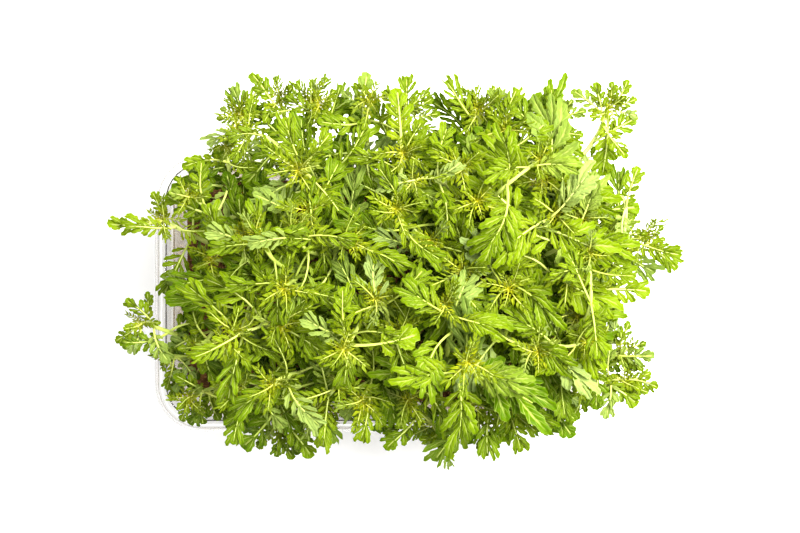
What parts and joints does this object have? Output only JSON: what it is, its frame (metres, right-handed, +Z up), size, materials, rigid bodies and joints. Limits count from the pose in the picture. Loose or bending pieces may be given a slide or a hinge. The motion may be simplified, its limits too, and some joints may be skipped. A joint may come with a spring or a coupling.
{
  "type": "marigold microgreens tray",
  "caption": "Clear rectangular plastic tray of soil with a dense stand of young marigold plants leaning out over its rim.",
  "frame": {"origin": "middle of the tray's flat base, on the plane it rests on", "axes": "+X along the tray's length, +Y across it, +Z up through the plants"},
  "size_m": [0.2273, 0.1567, 0.1132],
  "materials": {
    "clear_plastic": "clear, glossy, thermoformed",
    "soil": "damp coir and peat, crumbly and matt",
    "plant": "soft satin leaves, paler beneath, with pale green stems and yellow-green tips"
  },
  "bodies": {
    "root": {"tray": "clear_plastic", "soil_bed": "soil", "plant_01": "plant", "plant_02": "plant", "plant_03": "plant", "plant_04": "plant", "plant_05": "plant", "plant_06": "plant", "plant_07": "plant", "plant_08": "plant", "plant_09": "plant", "plant_10": "plant", "plant_11": "plant", "plant_12": "plant", "plant_13": "plant", "plant_14": "plant", "plant_15": "plant", "plant_16": "plant", "plant_17": "plant", "plant_18": "plant", "plant_19": "plant", "plant_20": "plant", "plant_21": "plant", "plant_22": "plant", "plant_23": "plant", "plant_24": "plant", "plant_25": "plant", "plant_26": "plant", "plant_27": "plant", "plant_28": "plant", "plant_29": "plant", "plant_30": "plant", "plant_31": "plant", "plant_32": "plant", "plant_33": "plant", "plant_34": "plant", "plant_35": "plant", "plant_36": "plant", "plant_37": "plant", "plant_38": "plant", "plant_39": "plant", "plant_40": "plant", "plant_41": "plant", "plant_42": "plant", "plant_43": "plant", "plant_44": "plant", "plant_45": "plant", "plant_46": "plant", "plant_47": "plant", "plant_48": "plant", "plant_49": "plant", "plant_50": "plant", "plant_51": "plant", "plant_52": "plant", "plant_53": "plant", "plant_54": "plant", "plant_55": "plant", "plant_56": "plant", "plant_57": "plant", "plant_58": "plant"}
  },
  "joints": []
}
